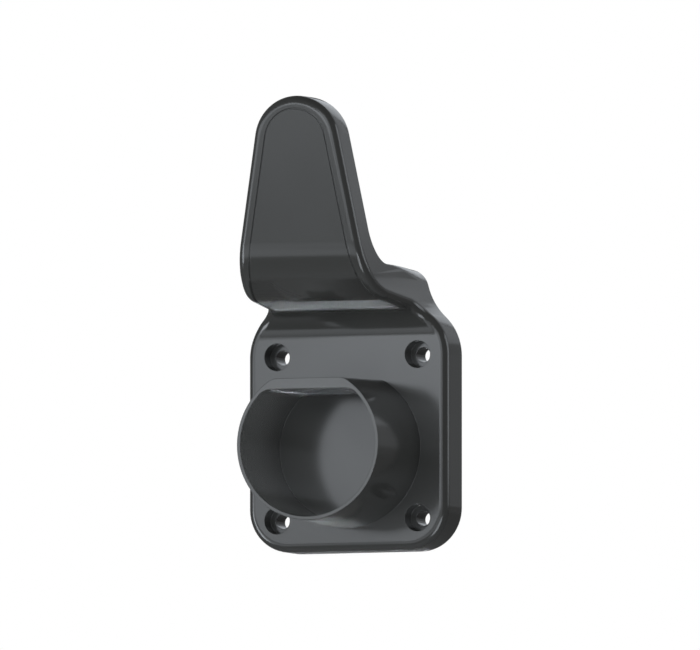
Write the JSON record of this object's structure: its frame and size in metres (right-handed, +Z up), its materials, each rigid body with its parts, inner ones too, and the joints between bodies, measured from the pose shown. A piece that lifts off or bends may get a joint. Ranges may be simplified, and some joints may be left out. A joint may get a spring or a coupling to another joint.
{
  "type": "ev connector holder",
  "caption": "Wall holder for a charging connector: plate with screw holes, flat-topped socket that takes the connector, and a hooked tongue behind which the cable hangs.",
  "frame": {"origin": "centre of the four screw holes, on the wall plane", "axes": "+X to the right along the wall, -Y out of the wall, +Z up"},
  "size_m": [0.0946, 0.0805, 0.1974],
  "materials": {
    "housing": "black injection-moulded plastic, satin with a very fine grain"
  },
  "bodies": {
    "root": {"holder": "housing"}
  },
  "joints": []
}
